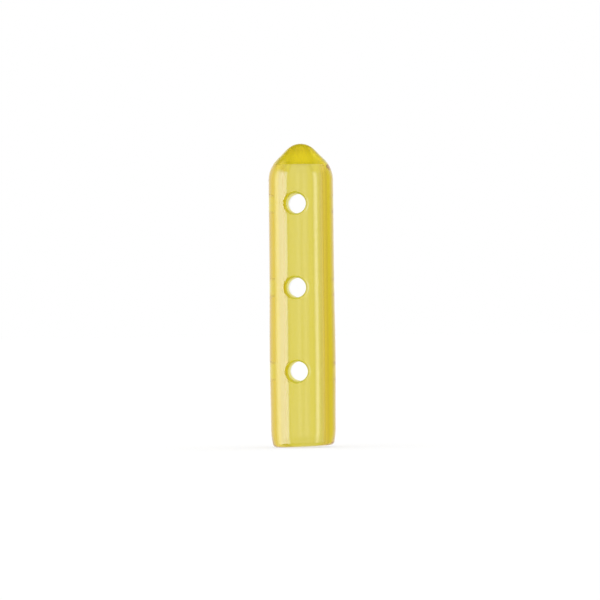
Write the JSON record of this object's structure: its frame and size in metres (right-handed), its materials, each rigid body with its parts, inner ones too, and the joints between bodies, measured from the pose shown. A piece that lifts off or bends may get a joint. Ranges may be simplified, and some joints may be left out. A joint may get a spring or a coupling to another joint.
{
  "type": "vented tip guard",
  "caption": "Slim translucent yellow push-on tip guard: open-ended plastic sleeve with a blind bore, a row of cross vents and a solid rounded nose.",
  "frame": {"origin": "centre of the sleeve's open end, on the face that the guard stands on", "axes": "+Z runs along the bore from the open end to the nose; the vents run along Y, and +X is square to them"},
  "size_m": [0.0054, 0.0054, 0.0254],
  "materials": {
    "sleeve_vinyl": "glossy, clear yellow-tinted flexible vinyl",
    "nose_vinyl": "glossy, the same vinyl in the solid, so it reads deeper yellow"
  },
  "bodies": {
    "root": {"sleeve": "sleeve_vinyl", "nose": "nose_vinyl"}
  },
  "joints": []
}
